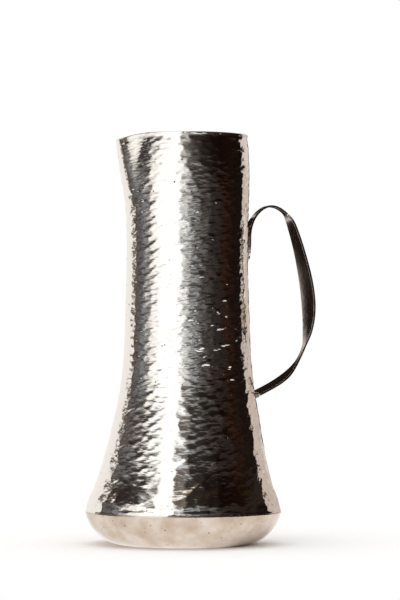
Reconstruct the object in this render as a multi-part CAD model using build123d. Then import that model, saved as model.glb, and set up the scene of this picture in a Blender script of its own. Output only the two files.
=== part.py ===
from build123d import *
import math
import os

# A tall hammered silver ewer. Lengths are in millimetres, angles in degrees.
# The origin is the centre of the flat foot, on the surface that it stands on. +Z is up.
# The handle is on the +X side and the pouring lip on the -X side.

# Sheet
wall_thickness = 1.2
pan_thickness = 1.2

# Wall, from the rim down to the knuckle: outer radius and height of each station. In the flare the radius
# is a share of the way from the flare's top out to the knuckle.
overall_height = 300.0
rim_radius = 44.4
rim_turn_drop = 5.0
rim_turn_radius = 45.1
shoulder_height = 262.0
shoulder_radius = 46.4
waist_height = 222.0
waist_radius = 45.3
belly_height = 164.0
belly_radius = 46.5
flare_top_height = 120.0
flare_top_radius = 49.2
flare_height = 91.0
flare_share = 0.225
skirt_height = 56.0
skirt_share = 0.564
skirt_foot_rise = 17.1
skirt_foot_share = 0.7665
knuckle_turn_rise = 5.2
knuckle_turn_share = 0.9648
knuckle_height = 24.4
knuckle_radius = 71.9

# The neck was raised a little off the centre of the foot, towards the handle
neck_offset = 3.1
neck_offset_height = 115.0

# Pouring lip: how far it is pulled out, how wide its bell curve is and how far down it fades.
# The bell curve is blunt where the lip begins and gets more pointed towards the rim.
lip_reach = 9.8
lip_spread_angle = 20.0
lip_root_bluntness = 4.0
lip_rim_bluntness = 2.0
lip_root_height = 238.0
lip_fade_power = 1.7
lip_dip = 4.2
lip_dip_middle_share = 0.3
lip_dip_start = 36.0

# Bottom pan
foot_radius = 43.0

# Handle: a strap of one thickness, bent in the plane of the lip, forged wide and narrow in turns
handle_thickness = 1.5
tongue_bottom_height = 208.0
tongue_bend_height = 226.0
loop_height = 248.7
loop_reach = 17.9
grip_height = 164.5
grip_reach = 47.8
lower_end_height = 109.0
tongue_width = 15.0
loop_width = 6.0
grip_width = 29.0
ankle_width = 5.0
lower_end_width = 28.0

# Points of the handle's line between the named places: shares of the grip's reach,
# then shares of the height from the grip up to the loop, or down to the lower end
upper_line_shares = [(0.617, 0.936), (0.747, 0.795), (0.9205, 0.442)]
lower_line_shares = [(0.902, 0.402), (0.680, 0.696), (0.429, 0.857)]

# Width of the strap on its way down from the loop: shares of the height between the loop
# and the lower end, then shares of the grip's width above the ankle and of the end's below it
grip_width_shares = [
    (0.034, 0.24),
    (0.064, 0.46),
    (0.100, 0.60),
    (0.150, 0.68),
    (0.250, 0.79),
    (0.400, 0.97),
    (0.490, 1.00),
    (0.560, 0.94),
    (0.620, 0.79),
    (0.680, 0.56),
]
end_width_shares = [(0.872, 0.50), (0.940, 0.90)]
ankle_height_shares = [0.755, 0.810]

# Leaf outline of the tongue: shares of its length on the wall, from its round end up, and of its width
tongue_leaf_shares = [(1.75, 0.62), (1.20, 1.00), (0.75, 1.00), (0.30, 0.80), (0.03, 0.30)]

# Solder: the film under the handle, how far it shows round the tongue and at the lower end, the bead
# in the seam, and the hair's breadth that keeps the solids of solder and sheet apart
solder_film = 0.15
solder_margin = 1.0
end_solder_radius = 2.3
end_solder_width = 17.0
end_solder_rounding = 1.1
seam_bead_radius = 0.8
solder_gap = 0.05

# Cutting tools run past what they cut by this much
overrun = 5.0

# How finely curves are followed
SECTION_POINTS = 40
LIP_STEPS = 6
WALL_STEPS = 9
STRAP_STEPS = 48
BEAD_SIDES = 8


def smooth_step(share):
    """Zero below 0, one above 1 and a smooth S between them."""
    held = min(max(share, 0.0), 1.0)
    return held * held * (3.0 - 2.0 * held)


def wall_profile():
    """Outer edge of the wall, seen from the side, from the knuckle up to the rim."""
    flare_width = knuckle_radius - flare_top_radius
    stations = [
        (knuckle_radius, knuckle_height),
        (flare_top_radius + flare_width * knuckle_turn_share, knuckle_height + knuckle_turn_rise),
        (flare_top_radius + flare_width * skirt_foot_share, knuckle_height + skirt_foot_rise),
        (flare_top_radius + flare_width * skirt_share, skirt_height),
        (flare_top_radius + flare_width * flare_share, flare_height),
        (flare_top_radius, flare_top_height),
        (belly_radius, belly_height),
        (waist_radius, waist_height),
        (shoulder_radius, shoulder_height),
        (rim_turn_radius, overall_height - rim_turn_drop),
        (rim_radius, overall_height),
    ]
    return Spline(*[(radius, 0, height) for radius, height in stations])


profile_curve = wall_profile()


def wall_radius(height):
    """Outer radius of the wall at a height, found on the profile by halving."""
    low_share, high_share = 0.0, 1.0
    for _ in range(30):
        middle_share = (low_share + high_share) / 2
        if (profile_curve @ middle_share).Z < height:
            low_share = middle_share
        else:
            high_share = middle_share
    return (profile_curve @ low_share).X


def neck_shift(height):
    """How far the centre of the wall lies towards the handle at a height."""
    climb = (height - knuckle_height) / (neck_offset_height - knuckle_height)
    return neck_offset * smooth_step(climb)


def wall_section(height, inset):
    """Closed outline of the wall at a height, drawn in by inset. The lip is a bell curve on the -X side."""
    rise = max(height - lip_root_height, 0.0) / (overall_height - lip_root_height)
    reach = lip_reach * rise**lip_fade_power
    bluntness = lip_root_bluntness + (lip_rim_bluntness - lip_root_bluntness) * rise**4
    base_radius = wall_radius(height) - inset
    outline = []
    for index in range(SECTION_POINTS):
        turn = 2.0 * index / SECTION_POINTS - 1.0
        angle = 180.0 * math.copysign(abs(turn) ** 1.7, turn)
        radius = base_radius + reach * math.exp(-(abs(angle / lip_spread_angle) ** bluntness))
        across = radius * math.sin(math.radians(angle))
        along = radius * math.cos(math.radians(angle))
        outline.append(Vector(neck_shift(height) - along, across, height))
    steps = [index / SECTION_POINTS for index in range(SECTION_POINTS + 1)]
    return Wire([Edge.make_spline(outline, periodic=True, parameters=steps)])


def wall_form(inset):
    """Solid form inside the wall's surface, drawn in by inset: cross-sections lofted from knuckle to rim."""
    skirt_foot_height = knuckle_height + skirt_foot_rise
    plain = lip_root_height - skirt_foot_height
    lipped = overall_height - lip_root_height
    heights = [knuckle_height, knuckle_height + knuckle_turn_rise]
    heights += [skirt_foot_height + plain * step / WALL_STEPS for step in range(WALL_STEPS)]
    heights += [lip_root_height + lipped * step / LIP_STEPS for step in range(LIP_STEPS + 1)]
    return Solid.make_loft([wall_section(height, inset) for height in heights])


def lip_dip_tool():
    """Cutter with an arched underside that lowers the rim towards the tip of the lip."""
    start = neck_offset - lip_dip_start
    tip = neck_offset - rim_radius - lip_reach
    middle = (start + tip) / 2
    underside = ThreePointArc(
        (start, 0, overall_height),
        (middle, 0, overall_height - lip_dip * lip_dip_middle_share),
        (tip, 0, overall_height - lip_dip),
    )
    outer = tip - overrun
    top = overall_height + overrun
    outline = [
        underside,
        Line((tip, 0, overall_height - lip_dip), (outer, 0, overall_height - lip_dip)),
        Line((outer, 0, overall_height - lip_dip), (outer, 0, top)),
        Line((outer, 0, top), (start, 0, top)),
        Line((start, 0, top), (start, 0, overall_height)),
    ]
    return extrude(make_face(outline), amount=rim_radius, dir=(0, 1, 0), both=True)


pan_outer_corner = TangentArc((foot_radius, 0, 0), (knuckle_radius, 0, knuckle_height), tangent=(1, 0, 0))
pan_inner_corner = TangentArc(
    (foot_radius, 0, pan_thickness), (knuckle_radius - wall_thickness, 0, knuckle_height), tangent=(1, 0, 0)
)


def bottom_pan():
    """Pan with a flat foot and one round corner up to the knuckle, turned about the foot's centre."""
    outline = [
        Line((0, 0, 0), (foot_radius, 0, 0)),
        pan_outer_corner,
        Line((knuckle_radius, 0, knuckle_height), (knuckle_radius - wall_thickness, 0, knuckle_height)),
        pan_inner_corner,
        Line((foot_radius, 0, pan_thickness), (0, 0, pan_thickness)),
        Line((0, 0, pan_thickness), (0, 0, 0)),
    ]
    return revolve(make_face(outline), axis=Axis.Z)


# The handle's middle line starts on the wall, under the tongue
tongue_seat = neck_offset + waist_radius + solder_film
tongue_line = tongue_seat + handle_thickness / 2
loop_line = tongue_line + loop_reach
end_face = neck_shift(lower_end_height) + wall_radius(lower_end_height) + solder_film


def handle_line():
    """Middle line of the strap from where it leaves the wall: over the loop, down the grip and in again."""
    rise = loop_height - grip_height
    drop = grip_height - lower_end_height
    points = [(tongue_line, 0, tongue_bend_height), (loop_line, 0, loop_height)]
    points += [(tongue_line + grip_reach * out, 0, grip_height + rise * up) for out, up in upper_line_shares]
    points += [(tongue_line + grip_reach, 0, grip_height)]
    points += [
        (tongue_line + grip_reach * out, 0, grip_height - drop * down) for out, down in lower_line_shares
    ]
    points += [(end_face, 0, lower_end_height)]
    last_run = Vector(points[-1]) - Vector(points[-2])
    return Spline(*points, tangents=[(0, 0, 1), last_run], tangent_scalars=[1, 1])


def strap_side():
    """Side view of the strap: two curves, half the thickness to each side of the middle line."""
    line = handle_line()
    outer, inner = [], []
    for step in range(STRAP_STEPS + 1):
        place = line @ (step / STRAP_STEPS)
        heading = line % (step / STRAP_STEPS)
        normal = Vector(-heading.Z, 0, heading.X) * (handle_thickness / 2)
        outer.append(place + normal)
        inner.append(place - normal)
    on_wall = Vector(tongue_line - handle_thickness / 2, 0, tongue_bottom_height)
    off_wall = Vector(tongue_line + handle_thickness / 2, 0, tongue_bottom_height)
    outline = [
        Line(on_wall, outer[0]),
        Spline(*outer),
        Line(outer[-1], inner[-1]),
        Spline(*inner),
        Line(inner[0], off_wall),
        Line(off_wall, on_wall),
    ]
    return extrude(make_face(outline), amount=grip_width, dir=(0, 1, 0), both=True)


def mirrored_face(half_points, place):
    """Face in the YZ plane at x = place, between a curve of half widths and its mirror image."""
    right = [Vector(place, half, height) for half, height in half_points]
    left = [Vector(place, -half, height) for half, height in half_points]
    outline = [Spline(*right), Line(right[-1], left[-1]), Spline(*left), Line(left[0], right[0])]
    return make_face(outline)


def tongue_face(place, margin):
    """Outline of the tongue from behind: narrow at the loop, then a round-ended leaf, grown by margin."""
    leaf = tongue_bend_height - tongue_bottom_height
    half_points = [
        (loop_width / 2 + margin, loop_height + overrun),
        (loop_width / 2 + margin, loop_height - handle_thickness),
    ]
    for up, wide in tongue_leaf_shares:
        height = tongue_bottom_height + leaf * up - margin * max(1.0 - up, 0.0)
        half_points.append((tongue_width / 2 * wide + margin, height))
    return mirrored_face(half_points, place)


def strap_face(place):
    """Outline of the strap from the front: loop, broad grip, slim ankle and broad lower end."""
    drop = loop_height - lower_end_height
    half_points = [(loop_width / 2, loop_height + overrun), (loop_width / 2, loop_height)]
    half_points += [(grip_width / 2 * wide, loop_height - drop * down) for down, wide in grip_width_shares]
    half_points += [(ankle_width / 2, loop_height - drop * down) for down in ankle_height_shares]
    half_points += [
        (lower_end_width / 2 * wide, loop_height - drop * down) for down, wide in end_width_shares
    ]
    half_points += [(lower_end_width / 2, lower_end_height - overrun)]
    return mirrored_face(half_points, place)


def strap_handle():
    """Forged strap: the side view cut to the front outline, and its tongue cut to an outline of its own."""
    strap = strap_side()
    depth = grip_reach + overrun
    tongue_tool = extrude(tongue_face(loop_line - depth, 0), amount=depth, dir=(1, 0, 0))
    strap_tool = extrude(strap_face(end_face), amount=depth, dir=(1, 0, 0))
    tongue_room = loop_height + overrun - grip_height
    tongue_side = Pos(loop_line - depth / 2, 0, grip_height + tongue_room / 2) * Box(
        depth, 2 * grip_width, tongue_room
    )
    return (strap & tongue_tool) + ((strap - tongue_side) & strap_tool)


def upper_solder_form():
    """Solder between the flat tongue and the round wall, up to where the strap bends away."""
    leaf = tongue_face(neck_offset, solder_margin)
    block = extrude(leaf, amount=tongue_seat - neck_offset, dir=(1, 0, 0))
    above = Pos(tongue_seat, 0, tongue_bend_height + loop_height) * Box(
        2 * tongue_seat, 2 * grip_width, 2 * loop_height
    )
    return block - above - wall_form(-solder_gap) - handle


def lower_solder_form():
    """Roll of solder across the strap's lower end, which meets the wall only at its middle."""
    roll = Pos(end_face, 0, lower_end_height) * Rot(90, 0, 0) * Cylinder(end_solder_radius, end_solder_width)
    roll = fillet(roll.edges().filter_by(GeomType.CIRCLE), end_solder_rounding)
    return roll - wall_form(-solder_gap) - handle


def seam_solder_form():
    """Bead of solder in the groove inside the seam, which touches the wall above it and the pan below it."""
    reach = 2 * seam_bead_radius
    bend = pan_inner_corner.radius
    depth = pan_thickness + bend - (knuckle_height - reach)
    groove = knuckle_radius - wall_thickness
    wall_lean = groove - (wall_radius(knuckle_height + reach) - wall_thickness)
    pan_lean = groove - (foot_radius + math.sqrt(bend**2 - depth**2))
    lean = math.atan2(max(wall_lean, pan_lean, 0.0), reach)
    middle = groove - (seam_bead_radius + solder_gap) / math.cos(lean)
    corners = []
    for step in range(BEAD_SIDES + 1):
        turn = 2.0 * math.pi * step / BEAD_SIDES
        across = middle + seam_bead_radius * math.cos(turn)
        corners.append((across, 0, knuckle_height + seam_bead_radius * math.sin(turn)))
    return revolve(make_face([Line(start, end) for start, end in zip(corners, corners[1:])]), axis=Axis.Z)


handle = strap_handle()

pieces = {
    "body_wall": wall_form(0) - wall_form(wall_thickness) - lip_dip_tool(),
    "bottom_pan": bottom_pan(),
    "strap_handle": handle,
    "upper_solder": upper_solder_form(),
    "lower_solder": lower_solder_form(),
    "seam_solder": seam_solder_form(),
}

os.makedirs("parts", exist_ok=True)
for name, piece in pieces.items():
    print(name, "solids:", len(piece.solids()), "volume:", round(piece.volume, 1), "valid:", piece.is_valid)
    export_step(piece, f"parts/{name}.step")
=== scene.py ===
import math

import bmesh
import bpy
import numpy as np
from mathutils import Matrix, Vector


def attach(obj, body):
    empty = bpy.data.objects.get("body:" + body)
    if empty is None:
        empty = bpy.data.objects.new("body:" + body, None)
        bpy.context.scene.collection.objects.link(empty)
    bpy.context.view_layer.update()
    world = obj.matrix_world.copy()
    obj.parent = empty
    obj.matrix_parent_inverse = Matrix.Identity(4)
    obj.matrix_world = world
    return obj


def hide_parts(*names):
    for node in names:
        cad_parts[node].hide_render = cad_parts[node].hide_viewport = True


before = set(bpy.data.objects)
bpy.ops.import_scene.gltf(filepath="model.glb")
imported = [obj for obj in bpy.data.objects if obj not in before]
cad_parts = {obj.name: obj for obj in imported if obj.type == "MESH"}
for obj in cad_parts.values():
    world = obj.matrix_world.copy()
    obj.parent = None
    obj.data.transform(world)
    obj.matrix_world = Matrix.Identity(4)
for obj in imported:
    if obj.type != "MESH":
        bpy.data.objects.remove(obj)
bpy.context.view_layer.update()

# Camera: level with the middle of the ewer, two metres away, turned a little so that the
# handle's inner face shows. It is tilted up by less than a degree, so it needs no shift.

VIEW_AZIMUTH = -16.5
CAMERA_DISTANCE = 2.10
CAMERA_HEIGHT = 0.149
AIM_HEIGHT = 0.179
AIM_RIGHT = 0.0123
SENSOR_HEIGHT_MM = 36
LENS_MM = 171.6

turn = math.radians(VIEW_AZIMUTH)
towards_camera = Vector((math.sin(turn), -math.cos(turn), 0))
camera_right = Vector((math.cos(turn), math.sin(turn), 0))

camera_data = bpy.data.cameras.new("camera")
camera_data.sensor_fit = "VERTICAL"
camera_data.sensor_height = SENSOR_HEIGHT_MM
camera_data.lens = LENS_MM
camera = bpy.data.objects.new("camera", camera_data)
aim_shift = camera_right * AIM_RIGHT
camera.location = towards_camera * CAMERA_DISTANCE + aim_shift + Vector((0, 0, CAMERA_HEIGHT))
aim = aim_shift + Vector((0, 0, AIM_HEIGHT))
camera.rotation_euler = (aim - camera.location).to_track_quat("-Z", "Y").to_euler()
bpy.context.collection.objects.link(camera)
bpy.context.scene.camera = camera

# Hammered wall: one sheet of sterling silver raised over a stake and planished with rows of
# overlapping blows, then polished. Its rim is filed round and its lip is pulled out and dips.
# All sizes are in millimetres until the mesh is made.

MM = 0.001
SHEET = 1.2
RIM_HEIGHT = 300.0
KNUCKLE = (71.9, 24.4)
WAIST_RADIUS = 45.3
SHOULDER_HEIGHT = 262.0
WALL_STATIONS = [
    KNUCKLE,
    (71.1, 29.6),
    (66.6, 41.5),
    (62.0, 56.0),
    (54.3, 91.0),
    (49.2, 120.0),
    (46.5, 164.0),
    (WAIST_RADIUS, 222.0),
    (46.4, SHOULDER_HEIGHT),
    (45.1, 295.0),
    (44.4, RIM_HEIGHT),
]
NECK_OFFSET = 3.1
NECK_OFFSET_HEIGHT = 115.0
LIP_REACH = 9.8
LIP_SPREAD = 20.0
LIP_ROOT_HEIGHT = 238.0
LIP_FADE = 1.7
LIP_ROOT_BLUNTNESS = 4.0
LIP_RIM_BLUNTNESS = 2.0
LIP_DIP = 4.2
LIP_DIP_MIDDLE = 0.3
LIP_DIP_START = 36.0


def spline_through(points, count, first=None, last=None):
    """Evenly spaced points on the cubic spline through the given ones: slopes at the points solve the
    usual banded equations, and each run is a Hermite cubic. End slopes are given, or left free."""
    points = np.array(points, float)
    runs = np.linalg.norm(np.diff(points, axis=0), axis=1)
    slopes = np.diff(points, axis=0) / runs[:, None]
    total = len(points)
    matrix = np.zeros((total, total))
    target = np.zeros_like(points)
    inner = np.arange(1, total - 1)
    matrix[inner, inner - 1] = runs[1:]
    matrix[inner, inner] = 2 * (runs[:-1] + runs[1:])
    matrix[inner, inner + 1] = runs[:-1]
    target[inner] = 3 * (runs[1:, None] * slopes[:-1] + runs[:-1, None] * slopes[1:])
    matrix[0, :2] = (2, 1) if first is None else (1, 0)
    target[0] = 3 * slopes[0] if first is None else first
    matrix[-1, -2:] = (1, 2) if last is None else (0, 1)
    target[-1] = 3 * slopes[-1] if last is None else last
    tangents = np.linalg.solve(matrix, target)
    knots = np.concatenate([[0], np.cumsum(runs)])
    places = np.linspace(0, knots[-1], count)
    span = np.clip(np.searchsorted(knots, places) - 1, 0, total - 2)
    run = runs[span][:, None]
    share = (places - knots[span])[:, None] / run
    return (
        (1 + 2 * share) * (1 - share) ** 2 * points[span]
        + share * (1 - share) ** 2 * run * tangents[span]
        + share**2 * (3 - 2 * share) * points[span + 1]
        + share**2 * (share - 1) * run * tangents[span + 1]
    )


def smooth_step(share):
    """Zero below 0, one above 1 and a smooth S between them."""
    held = np.clip(share, 0, 1)
    return held * held * (3 - 2 * held)


wall_curve = spline_through(WALL_STATIONS, count=800)


def wall_radius(height):
    """Outer radius of the plain wall at a height, read off the side profile."""
    return np.interp(height, wall_curve[:, 1], wall_curve[:, 0])


def neck_shift(height):
    """How far the wall's own centre stands off the foot's, towards the handle: nothing at the knuckle, the
    neck's whole offset from the top of the flare up, and a smooth S between."""
    return NECK_OFFSET * smooth_step((height - KNUCKLE[1]) / (NECK_OFFSET_HEIGHT - KNUCKLE[1]))


def wall_point(angle, height, inset):
    """Point of the wall at an angle from the lip, in degrees, and a height, drawn in by inset: a circle
    about the neck's own centre, plus a bell curve of the angle for the lip, which is blunt below and
    pointed at the rim."""
    rise = np.maximum(height - LIP_ROOT_HEIGHT, 0) / (RIM_HEIGHT - LIP_ROOT_HEIGHT)
    bluntness = LIP_ROOT_BLUNTNESS + (LIP_RIM_BLUNTNESS - LIP_ROOT_BLUNTNESS) * rise**4
    bell = np.exp(-(np.abs(angle / LIP_SPREAD) ** bluntness))
    radius = wall_radius(height) - inset + LIP_REACH * rise**LIP_FADE * bell
    swing = np.radians(angle)
    along = neck_shift(height) - radius * np.cos(swing)
    return np.stack([along, radius * np.sin(swing), height + 0 * radius], axis=-1)


def rim_line(along):
    """Height of the rim over a place along X: level, then a shallow parabola down to the lip's tip, through
    a given share of the dip half-way."""
    start = NECK_OFFSET - LIP_DIP_START
    half = (WALL_STATIONS[-1][0] + LIP_REACH - LIP_DIP_START) / 2
    middle_drop = LIP_DIP * LIP_DIP_MIDDLE
    gone = np.clip((start - along) / (2 * half), 0, 1)
    bow = (LIP_DIP / 2 - middle_drop) * 4 * gone * (1 - gone)
    return RIM_HEIGHT - LIP_DIP * gone + bow


# The blows' scatter: rings and blows of its table, and how far their middles stray as shares of the
# spacing. The slant is how far a blow's middle line drops for each millimetre round the wall.
BLOW_TABLE = (400, 128)
SCATTER_AROUND = 0.42
SCATTER_ALONG = 0.45
SLANT = 0.20
SLANT_SCATTER = 1.2


def blows(around, along, girth, count, pitch_along, hollow_around, hollow_along, uneven, seed):
    """Depth left by rows of overlapping hammer blows, in mm. Each blow is a shallow slanted bowl: it rises
    with the squares of the distances round and along from its middle, and the surface is the lowest bowl at
    each place. Blows stand in rings of one count, so they grow with the girth, and their middles, depths
    and slants are scattered by a seeded table."""
    table = np.random.default_rng(seed).uniform(-1, 1, (*BLOW_TABLE, 4))
    ring = np.floor(along / pitch_along).astype(int)
    lowest = np.full(around.shape, np.inf)
    for ring_step in (-2, -1, 0, 1, 2):
        this_ring = ring + ring_step
        middle_line = (this_ring + 0.5) * pitch_along
        first = np.floor(around * count).astype(int)
        for blow_step in (-1, 0, 1):
            scatter = table[this_ring % BLOW_TABLE[0], (first + blow_step) % count]
            middle = (first + blow_step + 0.5 + SCATTER_AROUND * scatter[..., 0]) / count
            across = (around - middle) * girth
            down = along - middle_line - SCATTER_ALONG * pitch_along * scatter[..., 1]
            down = down + SLANT * (1 + SLANT_SCATTER * scatter[..., 3]) * across
            bowl = hollow_around * across**2 + hollow_along * down**2 + uneven * scatter[..., 2]
            lowest = np.minimum(lowest, bowl)
    return np.maximum(lowest.max() - lowest, 0)


def add_surface(name, points, close_rows=False, poles=False):
    """Mesh of a grid of points, in mm: columns go round and are joined, rows are joined too if asked. With
    poles, the first and last rows are single points, each joined to the next ring by a fan."""
    rows, columns = points.shape[:2]
    vertices = points.reshape(-1, 3) * MM
    here = np.arange(rows * columns).reshape(rows, columns)
    right = np.roll(here, -1, axis=1)
    below, below_right = here[:-1], right[:-1]
    above, above_right = here[1:], right[1:]
    if close_rows:
        below, below_right = here, right
        above, above_right = np.roll(here, -1, axis=0), np.roll(right, -1, axis=0)
    quads = np.stack([below, below_right, above_right, above], axis=-1)
    fans = np.zeros((0, 3), int)
    if poles:
        quads = quads[1:-1]
        first, last = here[0, 0], here[-1, 0]
        start_ring, end_ring = here[1], here[-2]
        fans = np.concatenate([
            np.stack([np.full(columns, first), np.roll(start_ring, -1), start_ring], axis=-1),
            np.stack([np.full(columns, last), end_ring, np.roll(end_ring, -1)], axis=-1),
        ])
    faces = quads.reshape(-1, 4).tolist() + fans.tolist()
    mesh = bpy.data.meshes.new(name)
    mesh.from_pydata(vertices.tolist(), [], faces)
    mesh.polygons.foreach_set("use_smooth", np.ones(len(faces), bool))
    if poles:
        # The grid's spare copies of the two poles belong to no face
        loose = bmesh.new()
        loose.from_mesh(mesh)
        spare = [vertex for vertex in loose.verts if not vertex.link_faces]
        bmesh.ops.delete(loose, geom=spare, context="VERTS")
        loose.to_mesh(mesh)
        loose.free()
    mesh.update()
    piece = bpy.data.objects.new(name, mesh)
    bpy.context.collection.objects.link(piece)
    return piece


WALL_COLUMNS = 256
OUTER_ROWS = 340
INNER_ROWS = 22
RIM_STEPS = 6
INNER_CROWDING = 1.3
CORNER = 0.05

# The rings of blows lie further apart down the skirt: heights, and the places that they have on a wall
# with even rings
BLOW_HEIGHTS = [0, 60, 120, RIM_HEIGHT]
EVEN_PLACES = [0, 44, 98, 278]

# The blows run out below the rim, and are lighter over the knuckle and where the lip was pulled. The
# knuckle's corner is rubbed round.
RIM_FADE = 3.0
KNUCKLE_SHARE = 0.3
KNUCKLE_FADE = 4.0
LIP_CALM = 0.72
LIP_CALM_ANGLE = 40
LIP_CALM_START = 254
LIP_CALM_RISE = 20
RUBBED_DEPTH = 0.25
RUBBED_REACH = 1.8

angles = np.linspace(-180, 180, WALL_COLUMNS, endpoint=False)[None, :]

# The rim's height follows from how far out the wall reaches, and that from the height, so the two are
# worked out in turn until they settle
rim_top = np.full((1, WALL_COLUMNS), RIM_HEIGHT)
for _ in range(4):
    rim_top = rim_line(wall_point(angles, rim_top, 0)[..., 0])
rim_drop = RIM_HEIGHT - rim_top


def lowered(height):
    """Moves heights near the rim down with the dip of the lip, and leaves those below the shoulder."""
    return height - rim_drop * np.clip((height - SHOULDER_HEIGHT) / (RIM_HEIGHT - SHOULDER_HEIGHT), 0, 1)


# The wall's skin runs up the outside, over the rim in a half circle, down the inside and back along the
# lower edge
rim_round = SHEET / 2
even_heights = np.linspace(KNUCKLE[1] + CORNER, RIM_HEIGHT - rim_round, OUTER_ROWS)[:, None]
outer_heights = lowered(even_heights + 0 * angles)
above_knuckle = outer_heights - KNUCKLE[1]
marks = blows(
    angles / 360 + 0.5 + 0 * outer_heights,
    np.interp(outer_heights, BLOW_HEIGHTS, EVEN_PLACES),
    2 * math.pi * wall_radius(outer_heights),
    count=38, pitch_along=2.9, hollow_around=0.011, hollow_along=0.040, uneven=0.03, seed=11,
)
marks = marks * smooth_step((rim_top - outer_heights) / RIM_FADE)
marks = marks * (KNUCKLE_SHARE + (1 - KNUCKLE_SHARE) * smooth_step(above_knuckle / KNUCKLE_FADE))
on_lip = np.exp(-((angles / LIP_CALM_ANGLE) ** 4))
marks = marks * (1 - LIP_CALM * on_lip * smooth_step((outer_heights - LIP_CALM_START) / LIP_CALM_RISE))
marks = marks + RUBBED_DEPTH * smooth_step(1 - above_knuckle / RUBBED_REACH)
outer_skin = wall_point(angles, outer_heights, marks)

rim_turns = np.linspace(0, math.pi, RIM_STEPS + 2)[1:-1, None]
rim_skin = wall_point(
    angles,
    rim_top - rim_round + rim_round * np.sin(rim_turns),
    rim_round - rim_round * np.cos(rim_turns) + 0 * angles,
)

inner_share = np.linspace(0, 1, INNER_ROWS)[:, None] ** INNER_CROWDING
inner_fall = inner_share * (RIM_HEIGHT - rim_round - KNUCKLE[1] - CORNER)
inner_heights = lowered(RIM_HEIGHT - rim_round - inner_fall + 0 * angles)
inner_skin = wall_point(angles, inner_heights, SHEET)

foot_edge = wall_point(
    angles,
    np.full((2, 1), KNUCKLE[1]) + 0 * angles,
    np.concatenate([np.full((1, WALL_COLUMNS), SHEET - CORNER), marks[:1]]),
)

wall_skin = np.concatenate([outer_skin, rim_skin, inner_skin, foot_edge])
wall = add_surface("hammered_wall", wall_skin, close_rows=True)
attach(wall, "root")
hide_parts("body_wall")


def linear(colour):
    """Linear RGBA of an sRGB hex colour."""
    shares = np.array([int(colour[place:place + 2], 16) for place in (1, 3, 5)]) / 255
    straight = np.where(shares <= 0.04045, shares / 12.92, ((shares + 0.055) / 1.055) ** 2.4)
    return (*straight.tolist(), 1.0)


def add_node(tree, kind, inputs=None, **settings):
    """Adds a node, gives it its settings, and links or sets its inputs."""
    node = tree.nodes.new(kind)
    for name, value in settings.items():
        setattr(node, name, value)
    for name, value in (inputs or {}).items():
        if isinstance(value, bpy.types.NodeSocket):
            tree.links.new(value, node.inputs[name])
        else:
            node.inputs[name].default_value = value
    return node


# A nick's radius as a share of the nicks' spacing, its tone, and how much wider than tall the bowls are
NICK_RADIUS = 0.11
NICK_TONE = "#54483E"
RIPPLE_SQUASH = 2.4


def polished_silver(name, bright, tarnish_and_reflection, roughness, ripple_mm, ripple_size_mm, cloud_mm=28, pit_mm=6):
    """Sterling silver from the polishing mop: mirror-like, with faint wavering left by the hammer and
    clouds of
    a second tone: a breath of tarnish where the mop reached less, and on the pan a warm painted reflection
    of a cream floor. The wavering is bowls wider than tall, rising with the square of the distance from
    scattered points. Here and there is a small dark nick, a dot round one of another set of points."""
    material = bpy.data.materials.new(name)
    material.use_nodes = True
    tree = material.node_tree
    tree.nodes.clear()
    place = add_node(tree, "ShaderNodeTexCoord").outputs["Object"]
    cloud = add_node(
        tree, "ShaderNodeTexNoise",
        {"Vector": place, "Scale": 1 / (cloud_mm * MM), "Detail": 3.0, "Roughness": 0.55},
    )
    # The clouds mix in the second tone: tarnish, and on the pan a painted reflection of a cream floor
    tint = add_node(tree, "ShaderNodeMix", {"Factor": cloud.outputs["Fac"]}, data_type="RGBA")
    tint.inputs["A"].default_value = linear(bright)
    tint.inputs["B"].default_value = linear(tarnish_and_reflection)
    spots = add_node(
        tree, "ShaderNodeTexVoronoi", {"Vector": place, "Scale": 1 / (pit_mm * MM), "Randomness": 1.0}
    )
    small = add_node(
        tree, "ShaderNodeMath", {0: spots.outputs["Distance"], 1: NICK_RADIUS},
        operation="LESS_THAN",
    )
    picked = add_node(tree, "ShaderNodeSeparateColor", {"Color": spots.outputs["Color"]})
    nick = add_node(
        tree, "ShaderNodeMath", {0: small.outputs["Value"], 1: picked.outputs["Red"]}, operation="MULTIPLY"
    )
    nicked = add_node(tree, "ShaderNodeMix", {"Factor": nick.outputs["Value"]}, data_type="RGBA")
    tree.links.new(tint.outputs["Result"], nicked.inputs["A"])
    nicked.inputs["B"].default_value = linear(NICK_TONE)
    matt = add_node(
        tree, "ShaderNodeMapRange",
        {"Value": cloud.outputs["Fac"], "From Min": 0.3, "From Max": 0.7,
         "To Min": roughness[0], "To Max": roughness[1]},
    )
    squeezed = add_node(tree, "ShaderNodeMapping", {"Vector": place, "Scale": (1.0, 1.0, RIPPLE_SQUASH)})
    cells = add_node(
        tree, "ShaderNodeTexVoronoi",
        {"Vector": squeezed.outputs["Vector"], "Scale": 1 / (ripple_size_mm * MM), "Randomness": 1.0},
    )
    bowls = add_node(
        tree, "ShaderNodeMath", {0: cells.outputs["Distance"], 1: cells.outputs["Distance"]},
        operation="MULTIPLY",
    )
    ripple = add_node(
        tree, "ShaderNodeBump",
        {"Height": bowls.outputs["Value"], "Strength": 1.0, "Distance": ripple_mm * MM},
    )
    surface = add_node(
        tree, "ShaderNodeBsdfPrincipled",
        {"Base Color": nicked.outputs["Result"], "Metallic": 1.0, "Roughness": matt.outputs["Result"],
         "Normal": ripple.outputs["Normal"]},
    )
    add_node(tree, "ShaderNodeOutputMaterial", {"Surface": surface.outputs["BSDF"]})
    return material


# Polished over its hammer marks: a white mirror that breaks what it shows into short slanted strokes.
# The finer waves are blows of a small hammer, 4.6 mm across and under a tenth of a millimetre deep.
hammered_silver = polished_silver(
    "polished hammered sterling silver", "#F6F4F1", "#F0ECE6", (0.04, 0.09), ripple_mm=0.09,
    ripple_size_mm=4.6,
)
wall.data.materials.append(hammered_silver)

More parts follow.
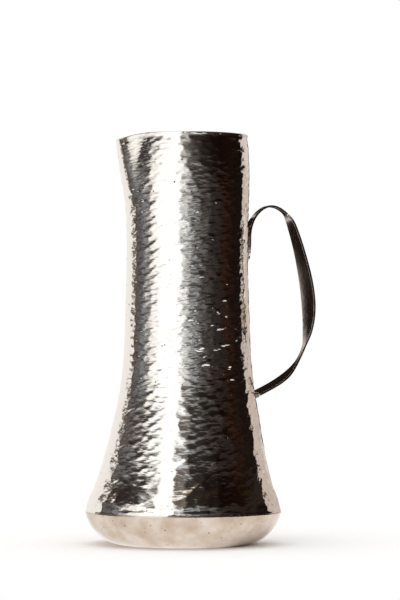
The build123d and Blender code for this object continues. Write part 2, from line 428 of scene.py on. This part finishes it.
# Bottom pan: a disc of the same silver sunk to a round corner and soldered to the wall's lower
# edge. It was planished with a flat face, so its blows are wider and hardly show.

FOOT_RADIUS = 43.0
PAN_COLUMNS = 192

# The foot is left flat: the blows grow along the corner, and run out before the knuckle
PAN_BLOW_START = 46.0
PAN_BLOW_GROWTH = 12.0
PAN_EDGE_FADE = 3.0
LEAST_GIRTH_RADIUS = 4.0


def corner_radius(foot_height, end_radius):
    """Radius of the arc that leaves the flat foot level and ends at the knuckle."""
    across = end_radius - FOOT_RADIUS
    up = KNUCKLE[1] - foot_height
    return (across**2 + up**2) / (2 * up)


def pan_profile(foot_height, end_radius, flat_steps, arc_steps, top_gap):
    """Radius and height from the middle of the foot out, then along an arc up to the knuckle less a gap."""
    bend = corner_radius(foot_height, end_radius)
    last = math.acos((foot_height + bend - KNUCKLE[1] + top_gap) / bend)
    flat_radius = np.linspace(0, FOOT_RADIUS, flat_steps, endpoint=False)
    flat = np.stack([flat_radius, np.full(flat_steps, foot_height)], -1)
    swing = np.linspace(0, last, arc_steps)
    arc = np.stack([FOOT_RADIUS + bend * np.sin(swing), foot_height + bend * (1 - np.cos(swing))], -1)
    return np.concatenate([flat, arc])


pan_outer = pan_profile(0.0, KNUCKLE[0], flat_steps=26, arc_steps=44, top_gap=CORNER)
pan_inner = pan_profile(SHEET, KNUCKLE[0] - SHEET, flat_steps=10, arc_steps=22, top_gap=CORNER)
pan_edge = np.array([(KNUCKLE[0] - CORNER, KNUCKLE[1]), (KNUCKLE[0] - SHEET + CORNER, KNUCKLE[1])])
pan_line = np.concatenate([pan_outer, pan_edge, pan_inner[::-1]])
pan_angles = np.linspace(0, 360, PAN_COLUMNS, endpoint=False)[None, :]
pan_run = np.concatenate([[0], np.cumsum(np.linalg.norm(np.diff(pan_outer, axis=0), axis=1))])
to_knuckle = pan_run[-1] - pan_run
pan_marks = blows(
    pan_angles / 360 + 0 * pan_run[:, None],
    pan_run[:, None] + 0 * pan_angles,
    2 * math.pi * np.maximum(pan_outer[:, :1], LEAST_GIRTH_RADIUS),
    count=40, pitch_along=9.0, hollow_around=0.0016, hollow_along=0.0022, uneven=0.01, seed=5,
)
pan_fade = smooth_step((pan_run - PAN_BLOW_START) / PAN_BLOW_GROWTH)
pan_fade = pan_fade * smooth_step(to_knuckle / PAN_EDGE_FADE)
pan_rub = RUBBED_DEPTH * smooth_step(1 - to_knuckle / RUBBED_REACH)
pan_inset = np.zeros((len(pan_line), PAN_COLUMNS))
pan_inset[: len(pan_run)] = pan_marks * pan_fade[:, None] + pan_rub[:, None]
pan_inset[len(pan_run)] = RUBBED_DEPTH
pan_swing = np.radians(pan_angles)
pan_reach = pan_line[:, :1] - pan_inset
pan_skin = np.stack(
    [pan_reach * np.cos(pan_swing), pan_reach * np.sin(pan_swing), pan_line[:, 1:] + 0 * pan_inset], -1
)
pan = add_surface("bottom_dish", pan_skin, poles=True)
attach(pan, "root")
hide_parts("bottom_pan")

# Planished and handled more than the wall: a softer mirror, warm all over and tan in patches 13 mm across.
# The warmth and the tan are a painted reflection of a cream floor.
planished_silver = polished_silver(
    "polished planished sterling silver", "#F3EAE0", "#AC8A66", (0.08, 0.18), ripple_mm=0.07,
    ripple_size_mm=6.0, cloud_mm=13, pit_mm=5.0,
)
pan.data.materials.append(planished_silver)

# Strap handle: one bar of silver forged flat, broad where the hand grips it and slim at the
# loop and the ankle, bent in one plane, its edges eased with a file. Its tongue lies on the
# neck and its lower end on the flare, and both are soldered.

STRAP_THICKNESS = 1.5
SOLDER_FILM = 0.15
TONGUE_BOTTOM = 208.0
TONGUE_BEND = 226.0
LOOP_HEIGHT = 248.7
LOOP_REACH = 17.9
GRIP_HEIGHT = 164.5
GRIP_REACH = 47.8
END_HEIGHT = 109.0
STRAP_STEPS = 220
TONGUE_STEPS = 24
EDGE_ROUND = 0.1
LEAST_FLAT = 0.05
QUARTER_COLUMNS = 5
FACE_COLUMNS = 4
BESIDE_CORNER = 0.4

# The strap's middle line between its named places: shares of the grip's reach, then of the height from
# the grip up to the loop, or down to the lower end
UPPER_LINE_SHARES = [(0.617, 0.936), (0.747, 0.795), (0.9205, 0.442), (1.0, 0.0)]
LOWER_LINE_SHARES = [(0.902, 0.402), (0.680, 0.696), (0.429, 0.857)]

# Its width: along the tongue, as shares of the tongue's length and widths in mm, up to the loop's top, and
# then down the grip, as shares of the fall from the loop to the lower end and widths in mm
TONGUE_SHARES = [0, 0.03, 0.30, 0.75, 1.20, 1.75]
TONGUE_WIDTHS = [1.2, 4.5, 12.0, 15.0, 15.0, 9.3, 6.0]
STRAP_WIDTHS = [
    (0, 6), (0.034, 7), (0.064, 13.3), (0.100, 17.4), (0.150, 19.7), (0.250, 22.9), (0.400, 28.1),
    (0.490, 29), (0.560, 27.3), (0.620, 22.9), (0.680, 16.2), (0.755, 5), (0.810, 5), (0.872, 14),
    (0.940, 25.2), (1, 28),
]

tongue_line = NECK_OFFSET + WAIST_RADIUS + SOLDER_FILM + STRAP_THICKNESS / 2
end_face = float(neck_shift(END_HEIGHT) + wall_radius(END_HEIGHT) + SOLDER_FILM)
climb = LOOP_HEIGHT - GRIP_HEIGHT
drop = GRIP_HEIGHT - END_HEIGHT
strap_points = [(tongue_line, TONGUE_BEND), (tongue_line + LOOP_REACH, LOOP_HEIGHT)]
strap_points += [
    (tongue_line + GRIP_REACH * out, GRIP_HEIGHT + climb * up) for out, up in UPPER_LINE_SHARES
]
strap_points += [
    (tongue_line + GRIP_REACH * out, GRIP_HEIGHT - drop * down) for out, down in LOWER_LINE_SHARES
]
strap_points += [(end_face, END_HEIGHT)]
last_run = np.array(strap_points[-1]) - np.array(strap_points[-2])
last_run = last_run / np.linalg.norm(last_run)
strap_curve = spline_through(strap_points, STRAP_STEPS, first=(0, 1), last=last_run)
tongue_rise = np.linspace(TONGUE_BOTTOM, TONGUE_BEND, TONGUE_STEPS, endpoint=False)
tongue_run = np.stack([np.full(TONGUE_STEPS, tongue_line), tongue_rise], -1)
middle_line = np.concatenate([tongue_run, strap_curve])

loop_top = int(np.argmax(middle_line[:, 1]))
tongue_length = TONGUE_BEND - TONGUE_BOTTOM
tongue_heights = [TONGUE_BOTTOM + tongue_length * up for up in TONGUE_SHARES] + [LOOP_HEIGHT]
fall = LOOP_HEIGHT - END_HEIGHT
tongue_guide = spline_through(list(zip(tongue_heights, TONGUE_WIDTHS)), count=300)
strap_guide = spline_through([(fall * share, width) for share, width in STRAP_WIDTHS], count=500)
strap_width = np.where(
    np.arange(len(middle_line)) <= loop_top,
    np.interp(middle_line[:, 1], tongue_guide[:, 0], tongue_guide[:, 1]),
    np.interp(LOOP_HEIGHT - middle_line[:, 1], strap_guide[:, 0], strap_guide[:, 1]),
)

heading = np.gradient(middle_line, axis=0)
heading = heading / np.linalg.norm(heading, axis=1)[:, None]
outward = np.stack([-heading[:, 1], heading[:, 0]], -1)

# The strap's section is a rectangle with eased corners. Each corner is a quarter circle with one more
# column on either side, and the broad faces have four more, so that they shade flat.
quarter = np.radians(np.linspace(0, 90, QUARTER_COLUMNS))
quarter_circle = np.stack([np.cos(quarter), np.sin(quarter)], -1)
corner_line = np.concatenate([[(1, -BESIDE_CORNER)], quarter_circle, [(-BESIDE_CORNER, 1)]])
corner_ones = np.ones(len(corner_line))
columns = []
for side, face, start in [(1, 1, 0), (-1, 1, 90), (-1, -1, 180), (1, -1, 270)]:
    cosine, sine = math.cos(math.radians(start)), math.sin(math.radians(start))
    turned = corner_line @ np.array([[cosine, sine], [-sine, cosine]])
    columns.append(np.column_stack([side * corner_ones, face * corner_ones, turned]))
    if start in (0, 180):
        next_corner = np.array([-side, face, BESIDE_CORNER * side, face])
        columns.append(np.linspace(columns[-1][-1], next_corner, FACE_COLUMNS + 2)[1:-1])
side_share, face_share, arc_across, arc_thick = np.concatenate(columns).T[:, None, :]

# The strap is that section carried along its middle line, square to the line and as wide as its place asks
half_width = np.maximum(strap_width[:, None] / 2, EDGE_ROUND + LEAST_FLAT)
sideways = side_share * (half_width - EDGE_ROUND) + EDGE_ROUND * arc_across
off = face_share * (STRAP_THICKNESS / 2 - EDGE_ROUND) + EDGE_ROUND * arc_thick
strap_skin = np.stack([
    middle_line[:, :1] + outward[:, :1] * off,
    sideways,
    middle_line[:, 1:] + outward[:, 1:] * off,
], -1)
start_cap = strap_skin[:1].mean(axis=1, keepdims=True) + 0 * strap_skin[:1]
end_cap = strap_skin[-1:].mean(axis=1, keepdims=True) + 0 * strap_skin[-1:]
strap = add_surface("forged_strap", np.concatenate([start_cap, strap_skin, end_cap]), poles=True)
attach(strap, "root")
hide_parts("strap_handle")

# Forged, filed and polished: a mirror with hardly a wave, so that its inner face goes smoothly from dark
# to a light far edge.
forged_silver = polished_silver(
    "polished forged sterling silver", "#EDE8E0", "#DDD3C6", (0.04, 0.09), ripple_mm=0.012,
    ripple_size_mm=7.0,
)
strap.data.materials.append(forged_silver)

# Solder: silver solder run under the handle's tongue, across its lower end and into the seam
# inside the knuckle, and cleaned up with a scraper.

# Scraped and left unpolished: a warm grey sheen with no clear reflection.
solder = polished_silver(
    "scraped silver solder", "#D9D2C6", "#C4B8A6", (0.25, 0.38), ripple_mm=0.03, ripple_size_mm=2.0
)
for name in ("upper_solder", "lower_solder", "seam_solder"):
    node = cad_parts[name]
    node.data.materials.clear()
    node.data.materials.append(solder)

# Floor and air: a wide pale table top that takes the ewer's shadow, under a white sky that
# polished metal shows too, with one soft lamp above and to the left. Sizes here, and those of
# the cards, are in metres.

FLOOR_RADIUS = 6.0
FLOOR_SIDES = 96
SHADOW_FADE = (0.05, 0.30)
PATCH_ASIDE = 0.040
PATCH_FADE = (0.024, 0.066)
LAMP_PLACE = (-0.7, -0.5, 2.2)
LAMP_WIDTH = 1.6
LAMP_WATTS = 9.0

floor_mesh = bpy.data.meshes.new("floor")
floor_turns = np.linspace(0, 2 * math.pi, FLOOR_SIDES + 1)[:-1]
floor_edge = [(FLOOR_RADIUS * math.cos(turn), FLOOR_RADIUS * math.sin(turn), 0) for turn in floor_turns]
floor_mesh.from_pydata(floor_edge, [], [list(range(FLOOR_SIDES))])
floor = bpy.data.objects.new("floor", floor_mesh)
bpy.context.collection.objects.link(floor)

# Matt white paint: it shows the soft shadow close to the ewer and is plain white from 0.3 m out. In the
# metal it is white too, but for a shaded patch under the ewer, a little to the right.
floor_paint = bpy.data.materials.new("matt white table top")
floor_paint.use_nodes = True
tree = floor_paint.node_tree
tree.nodes.clear()
rays = add_node(tree, "ShaderNodeLightPath").outputs
place = add_node(tree, "ShaderNodeTexCoord").outputs["Object"]
reach = add_node(tree, "ShaderNodeVectorMath", {0: place}, operation="LENGTH")
far = add_node(
    tree, "ShaderNodeMapRange",
    {"Value": reach.outputs["Value"], "From Min": SHADOW_FADE[0], "From Max": SHADOW_FADE[1],
     "To Min": 0.0, "To Max": 1.0},
    interpolation_type="SMOOTHSTEP",
)
patch_middle = tuple(camera_right * PATCH_ASIDE)
aside = add_node(tree, "ShaderNodeVectorMath", {0: place, 1: patch_middle}, operation="SUBTRACT")
aside = add_node(tree, "ShaderNodeVectorMath", {0: aside.outputs["Vector"]}, operation="LENGTH")
near = add_node(
    tree, "ShaderNodeMapRange",
    {"Value": aside.outputs["Value"], "From Min": PATCH_FADE[0], "From Max": PATCH_FADE[1],
     "To Min": 0.0, "To Max": 1.0},
    interpolation_type="SMOOTHSTEP",
)
mirrored = add_node(
    tree, "ShaderNodeMath", {0: rays["Is Glossy Ray"], 1: rays["Is Transmission Ray"]},
    operation="ADD", use_clamp=True,
)
mirrored = add_node(
    tree, "ShaderNodeMath", {0: mirrored.outputs["Value"], 1: near.outputs["Result"]}, operation="MULTIPLY"
)
seen = add_node(
    tree, "ShaderNodeMath", {0: rays["Is Camera Ray"], 1: far.outputs["Result"]}, operation="MULTIPLY"
)
white_share = add_node(
    tree, "ShaderNodeMath", {0: seen.outputs["Value"], 1: mirrored.outputs["Value"]},
    operation="ADD", use_clamp=True,
)
paint = add_node(tree, "ShaderNodeBsdfDiffuse", {"Color": linear("#F8F7F5")})
glow = add_node(tree, "ShaderNodeEmission", {"Color": linear("#FFFFFF"), "Strength": 1.0})
mixed = add_node(
    tree, "ShaderNodeMixShader",
    {0: white_share.outputs["Value"], 1: paint.outputs["BSDF"], 2: glow.outputs["Emission"]},
)
add_node(tree, "ShaderNodeOutputMaterial", {"Surface": mixed.outputs["Shader"]})
floor.data.materials.append(floor_paint)

world = bpy.data.worlds.new("studio air")
bpy.context.scene.world = world
world.use_nodes = True
world.node_tree.nodes.clear()
sky = add_node(world.node_tree, "ShaderNodeBackground", {"Color": linear("#FFFFFF"), "Strength": 1.0})
add_node(world.node_tree, "ShaderNodeOutputWorld", {"Surface": sky.outputs["Background"]})

lamp_data = bpy.data.lights.new("soft lamp", "AREA")
lamp_data.shape = "DISK"
lamp_data.size = LAMP_WIDTH
lamp_data.energy = LAMP_WATTS
lamp = bpy.data.objects.new("soft lamp", lamp_data)
lamp.location = LAMP_PLACE
lamp.rotation_euler = (-lamp.location).to_track_quat("-Z", "Y").to_euler()
lamp.visible_glossy = False
bpy.context.collection.objects.link(lamp)

# Cards: a studio's dark flags, white umbrella and cream reflectors, on three rings round the ewer out of
# the camera's sight. They are no lamps but glow with painted light, standing for lit and shaded cloth, the
# umbrella's light and the reflectors' bounce. Only polished metal sees them, and they draw the bands in the
# silver.

RING_STEPS = 180

# Folds: how many fit in a ring's distance, how much wider than tall they are, and the darkest and lightest
# shade that they give. Between the last two tones, folded cloth gives way to stretched cloth.
FOLDS_PER_DISTANCE = 10.0
FOLD_SQUASH = 2.2
FOLD_SHADE = (0.35, 1.8)
FOLDED_TO_FLAT = (0.15, 0.6)


def add_card(name, points, faces):
    """Card that only polished metal sees."""
    mesh = bpy.data.meshes.new(name)
    mesh.from_pydata(points, [], faces)
    card = bpy.data.objects.new(name, mesh)
    bpy.context.collection.objects.link(card)
    for kind in ("camera", "diffuse", "transmission", "volume_scatter", "shadow"):
        setattr(card, f"visible_{kind}", False)
    return card


def card_cloth(card, name):
    """New material on a card, and its empty node tree."""
    cloth = bpy.data.materials.new(name)
    cloth.use_nodes = True
    cloth.node_tree.nodes.clear()
    card.data.materials.append(cloth)
    return cloth.node_tree


def set_stations(ramp, stations, first, last):
    """Colours of a ramp that runs from the first place to the last, given as places and colours."""
    stops = ramp.color_ramp.elements
    while len(stops) < len(stations):
        stops.new(0.5)
    for stop, (place, tone) in zip(stops, stations):
        stop.position = (place - first) / (last - first)
        stop.color = linear(tone)


def add_card_ring(name, distance, bottom, top, levels, strength=1.2):
    """Ring of cards. Each level is a height and a list of bearings and colours, where a bearing is the
    angle from the camera's line, positive to its right. Between two levels the colours change over
    smoothly."""
    share = np.linspace(0, 1, RING_STEPS + 1)
    bearing = np.radians(VIEW_AZIMUTH - 180 + 360 * share)
    circle = np.stack([distance * np.sin(bearing), -distance * np.cos(bearing)], -1)
    points = [np.column_stack([circle, np.full(RING_STEPS + 1, height)]) for height in (bottom, top)]
    start = np.arange(RING_STEPS)
    faces = np.stack([start, start + 1, start + 2 + RING_STEPS, start + 1 + RING_STEPS], -1)
    ring = add_card(name, np.concatenate(points).tolist(), faces.tolist())
    layer = ring.data.uv_layers.new(name="across")
    corners = np.empty(len(ring.data.loops), int)
    ring.data.loops.foreach_get("vertex_index", corners)
    heights = np.array([bottom, top])[corners // (RING_STEPS + 1)]
    layer.data.foreach_set("uv", np.column_stack([share[corners % (RING_STEPS + 1)], heights]).ravel())

    # The cards glow with these colours: painted light for lit and shaded cloth, the umbrella and the
    # reflectors
    tree = card_cloth(ring, f"glowing painted cloth, {name}")
    across = add_node(tree, "ShaderNodeUVMap", uv_map="across").outputs["UV"]
    across = add_node(tree, "ShaderNodeSeparateXYZ", {"Vector": across}).outputs
    below = levels[0][0]
    colour = None
    for height, stations in levels:
        ramp = add_node(tree, "ShaderNodeValToRGB", {"Fac": across["X"]})
        set_stations(ramp, stations, -180, 180)
        if colour is None:
            colour = ramp.outputs["Color"]
            continue
        rise = add_node(
            tree, "ShaderNodeMapRange", {"Value": across["Y"], "From Min": below, "From Max": height},
            interpolation_type="SMOOTHSTEP",
        )
        both = add_node(tree, "ShaderNodeMix", {"Factor": rise.outputs["Result"]}, data_type="RGBA")
        tree.links.new(colour, both.inputs["A"])
        tree.links.new(ramp.outputs["Color"], both.inputs["B"])
        colour = both.outputs["Result"]
        below = height

    # Painted fold shade: black cloth is painted darker and lighter in folds a tenth of the ring's distance
    # wide, and white cloth is left plain, as if stretched flat
    spot = add_node(tree, "ShaderNodeTexCoord").outputs["Object"]
    spot = add_node(tree, "ShaderNodeMapping", {"Vector": spot, "Scale": (1.0, 1.0, FOLD_SQUASH)})
    spot = spot.outputs["Vector"]
    folds = add_node(
        tree, "ShaderNodeTexNoise",
        {"Vector": spot, "Scale": FOLDS_PER_DISTANCE / distance, "Detail": 4.0, "Roughness": 0.65},
    )
    shade = add_node(
        tree, "ShaderNodeMapRange",
        {"Value": folds.outputs["Fac"], "From Min": 0.3, "From Max": 0.7,
         "To Min": FOLD_SHADE[0], "To Max": FOLD_SHADE[1]},
    )
    folded = add_node(
        tree, "ShaderNodeVectorMath", {0: colour, "Scale": shade.outputs["Result"]}, operation="SCALE"
    )
    depth = add_node(tree, "ShaderNodeRGBToBW", {"Color": colour})
    pale = add_node(
        tree, "ShaderNodeMapRange",
        {"Value": depth.outputs["Val"], "From Min": FOLDED_TO_FLAT[0], "From Max": FOLDED_TO_FLAT[1]},
    )
    cover = add_node(tree, "ShaderNodeMix", {"Factor": pale.outputs["Result"]}, data_type="RGBA")
    tree.links.new(folded.outputs["Vector"], cover.inputs["A"])
    tree.links.new(colour, cover.inputs["B"])
    glow = add_node(tree, "ShaderNodeEmission", {"Color": cover.outputs["Result"], "Strength": strength})
    add_node(tree, "ShaderNodeOutputMaterial", {"Surface": glow.outputs["Emission"]})


# Stations that several levels share. The cream reflector behind the ewer begins at 107 to 128 degrees on
# the left and at 112 to 129 on the right, the umbrella lies left of the camera, and dark flags stand in
# between. The dark stripe draws the dark line beside the lip.
LOW_BACK = [(129, "#CABEB8"), (180, "#D0C6C0")]
HIGH_BACK = [(112, "#1E1A0C"), (115, "#B4A69C"), (180, "#C8BCB4")]
TOP_BACK = [(112, "#242010"), (115, "#B4A69C"), (180, "#C8BCB4")]
UMBRELLA = [(-46, "#FFFFFF"), (-14, "#FFFFFF")]
RIGHT_FLAGS = [(20, "#322E2C"), (40, "#1C1612"), (60, "#100806"), (84, "#140A06")]
DARK_STRIPE = [
    (-180, "#E8E4E0"), (-128, "#E6E2DE"), (-123, "#5E5450"), (-108, "#4E4A4C"), (-92, "#3C383C"),
    (-76, "#343030"), (-69, "#3E3A38"), (-64, "#A8A4A2"), (-58, "#E4E0DC"), *UMBRELLA,
    (-5, "#A09C9A"), (4, "#625E5C"), *RIGHT_FLAGS, (126, "#100A06"), *LOW_BACK,
]

add_card_ring("low cards", distance=0.35, bottom=0.0, top=0.058, levels=[(0.0, [
    (-180, "#E4E0DC"), (-116, "#E6E2DE"), (-112, "#3A302A"), (-80, "#4A4644"), (-72, "#A8A4A0"),
    (-64, "#B0A8A2"), (-58, "#6E625A"), (-52, "#E4E0DC"), (-46, "#FFFFFF"), (-22, "#FFFFFF"),
    (-16, "#3E3A38"), (20, "#2A2624"), (68, "#1A1412"), (119, "#120E0C"), (121, "#B6A8A0"),
    (180, "#BEB0A6"),
])])
add_card_ring("near cards", distance=0.62, bottom=0.085, top=0.305, levels=[
    (0.10, [
        (-180, "#E4E0DC"), (-114, "#E6E2DE"), (-110, "#30261F"), (-97, "#3A3838"), (-78, "#3A3634"),
        (-69, "#B8B4B0"), (-58, "#E4E0DC"), (-44, "#FFFFFF"), (-17, "#FFFFFF"), (-8, "#5E5C5A"),
        (8, "#3E3A38"), (36, "#221E1C"), (68, "#18120F"), (117, "#120E0C"), (119, "#B6A8A0"),
        (180, "#BEB0A6"),
    ]),
    (0.17, [
        (-180, "#E4E0DC"), (-115, "#E6E2DE"), (-111, "#4E423A"), (-104, "#5A5048"), (-95, "#5A5A5C"),
        (-86, "#767677"), (-78, "#8A8886"), (-70, "#E4E0DC"), (-56, "#FFFFFF"), (-13, "#FFFFFF"),
        (-4, "#C8CACA"), (6, "#969898"), (20, "#5C5A58"), (36, "#3C3836"), (52, "#2A2624"),
        (68, "#221C1A"), (69, "#301E17"), (76, "#2A1A12"), (92, "#1E140F"), (116, "#181210"),
        (119, "#B6A8A0"), (180, "#BEB0A6"),
    ]),
    (0.23, [
        (-180, "#E4E0DC"), (-127, "#E6E2DE"), (-123, "#4E423A"), (-110, "#5A5048"), (-97, "#5A5A5C"),
        (-84, "#767677"), (-74, "#8A8886"), (-67, "#E4E0DC"), (-54, "#FFFFFF"), (-12, "#FFFFFF"),
        (-4, "#CACCCC"), (6, "#A6A8A8"), (20, "#686664"), (36, "#48423E"), (52, "#2E2826"),
        (68, "#221C1A"), (69, "#301E17"), (76, "#24160F"), (92, "#160E0B"), (122, "#120E0C"),
        (125, "#B6A8A0"), (180, "#BEB0A6"),
    ]),
    (0.28, [
        (-180, "#E4E0DC"), (-117, "#E6E2DE"), (-111, "#3E342E"), (-84, "#4A4644"), (-72, "#5E5A58"),
        (-65, "#B4B0AC"), (-58, "#E4E0DC"), (-50, "#FFFFFF"), (-14, "#FFFFFF"), (-5, "#9E9A98"),
        (6, "#5E5C5A"), (20, "#3A3634"), (52, "#221C1A"), (72, "#20120C"), (92, "#160E0B"),
        (120, "#14120A"), (124, "#B6A8A0"), (180, "#BEB0A6"),
    ]),
])
add_card_ring("far cards", distance=2.0, bottom=0.0, top=8.0, levels=[
    (0.48, [
        (-180, "#E8E4E0"), (-127, "#E6E2DE"), (-123, "#5E5048"), (-113, "#5E5048"), (-106, "#D8CFC4"),
        (-88, "#E0D8CE"), (-83, "#5A5450"), (-74, "#4A4644"), (-68, "#E4DED6"), (-60, "#F4F0EA"),
        *UMBRELLA, (-5, "#A09C9A"), (4, "#625E5C"), *RIGHT_FLAGS, (126, "#100A06"), *LOW_BACK,
    ]),
    (0.52, DARK_STRIPE),
    (0.72, DARK_STRIPE),
    (0.78, [
        (-180, "#E8E4E0"), (-120, "#E4E0DC"), (-114, "#4E4640"), (-86, "#4E4A46"), (-78, "#7A7672"),
        (-70, "#B8B4B0"), (-60, "#E4E0DC"), *UMBRELLA, (-5, "#8E8A88"), (4, "#5A5654"), *RIGHT_FLAGS,
        (124, "#100A06"), (127, "#CABEB8"), (180, "#D0C6C0"),
    ]),
    (0.85, [
        (-180, "#E8E4E0"), (-113, "#E4E0DC"), (-107, "#3E342E"), (-84, "#3A3634"), (-70, "#454140"),
        (-60, "#7A7674"), (-52, "#B4B0AE"), (-42, "#F0EEEC"), (-36, "#FFFFFF"), (-15, "#FFFFFF"),
        (-6, "#74706E"), (4, "#4E4A48"), (14, "#322E2C"), (36, "#1A1410"), (60, "#100806"),
        (84, "#160A06"), (98, "#1E180C"), *HIGH_BACK,
    ]),
    (1.40, [
        (-180, "#E8E4E0"), (-113, "#E4E0DC"), (-107, "#2E2420"), (-86, "#28221F"), (-66, "#2E2A28"),
        (-56, "#3E3A38"), (-48, "#6A6664"), (-41, "#C4C0BE"), (-34, "#FFFFFF"), (-15, "#FFFFFF"),
        (-10, "#6A645E"), (-2, "#5E564E"), (8, "#2E2A28"), (36, "#1A1410"), (60, "#100806"),
        (84, "#160A06"), (94, "#241E0E"), *HIGH_BACK,
    ]),
    (1.85, [
        (-180, "#E8E4E0"), (-113, "#E4E0DC"), (-107, "#4E4640"), (-86, "#56504C"), (-66, "#6A6664"),
        (-57, "#8A8684"), (-48, "#C4C0BC"), (-38, "#FFFFFF"), (-16, "#FFFFFF"), (-11, "#6E685C"),
        (2, "#6A6256"), (9, "#2E2824"), (36, "#221A16"), (60, "#1C120E"), (84, "#22140E"),
        (94, "#241E0E"), *TOP_BACK,
    ]),
    (2.30, [
        (-180, "#E8E4E0"), (-113, "#E4E0DC"), (-107, "#4E4640"), (-86, "#7A7470"), (-66, "#A8A4A0"),
        (-54, "#FFFFFF"), (-14, "#FFFFFF"), (0, "#F2ECDC"), (7, "#C8BEA8"), (12, "#3A322C"),
        (36, "#2A201A"), (84, "#22140E"), *TOP_BACK,
    ]),
    (3.20, [
        (-180, "#E8E4E0"), (-113, "#E4E0DC"), (-107, "#4E4640"), (-60, "#8A8480"), (-16, "#7A746C"),
        (-8, "#2E2824"), (84, "#22140E"), *TOP_BACK,
    ]),
])

# Two flags for the strap, both glowing with painted light: an upright one behind the handle, seen in its
# inner face, and a dark strip low on the right, which keeps the strap's eased edge dark.

FLAG_Y = 0.18
FLAG_BOTTOM = 0.06
FLAG_TOP = 0.34
FLAG_STATIONS = [
    (-0.005, "#1A1210"), (0.0365, "#1E1612"), (0.0390, "#4A423E"), (0.0430, "#D8D2CE"), (0.049, "#A8A29C"),
    (0.056, "#6A605A"), (0.066, "#1E1714"), (0.16, "#1E1714"),
]
DARK_STRIP_HEIGHT = 0.066
DARK_STRIP_CORNERS = [(0.26, -0.72), (0.40, -0.72), (0.135, -0.02), (0.085, -0.02)]

# Grey silk on a frame, as a card that glows: dark, with one painted light band for a pale fold
flag_start, flag_end = FLAG_STATIONS[0][0], FLAG_STATIONS[-1][0]
handle_flag = add_card(
    "handle flag",
    [(flag_start, FLAG_Y, FLAG_BOTTOM), (flag_end, FLAG_Y, FLAG_BOTTOM),
     (flag_end, FLAG_Y, FLAG_TOP), (flag_start, FLAG_Y, FLAG_TOP)],
    [(0, 1, 2, 3)],
)
tree = card_cloth(handle_flag, "glowing grey card")
spot = add_node(tree, "ShaderNodeTexCoord").outputs["Object"]
spot = add_node(tree, "ShaderNodeSeparateXYZ", {"Vector": spot})
share = add_node(
    tree, "ShaderNodeMapRange", {"Value": spot.outputs["X"], "From Min": flag_start, "From Max": flag_end}
)
flag_tones = add_node(tree, "ShaderNodeValToRGB", {"Fac": share.outputs["Result"]})
set_stations(flag_tones, FLAG_STATIONS, flag_start, flag_end)
glow = add_node(tree, "ShaderNodeEmission", {"Color": flag_tones.outputs["Color"], "Strength": 1.0})
add_node(tree, "ShaderNodeOutputMaterial", {"Surface": glow.outputs["Emission"]})

# A strip glowing a faint dark brown: painted shade, which keeps the strap's eased edge dark
grip_flag = add_card("grip flag", [(x, y, DARK_STRIP_HEIGHT) for x, y in DARK_STRIP_CORNERS], [(0, 1, 2, 3)])
tree = card_cloth(grip_flag, "faint dark glow")
glow = add_node(tree, "ShaderNodeEmission", {"Color": linear("#2A221E"), "Strength": 1.0})
add_node(tree, "ShaderNodeOutputMaterial", {"Surface": glow.outputs["Emission"]})

bpy.context.scene.view_settings.view_transform = "Standard"
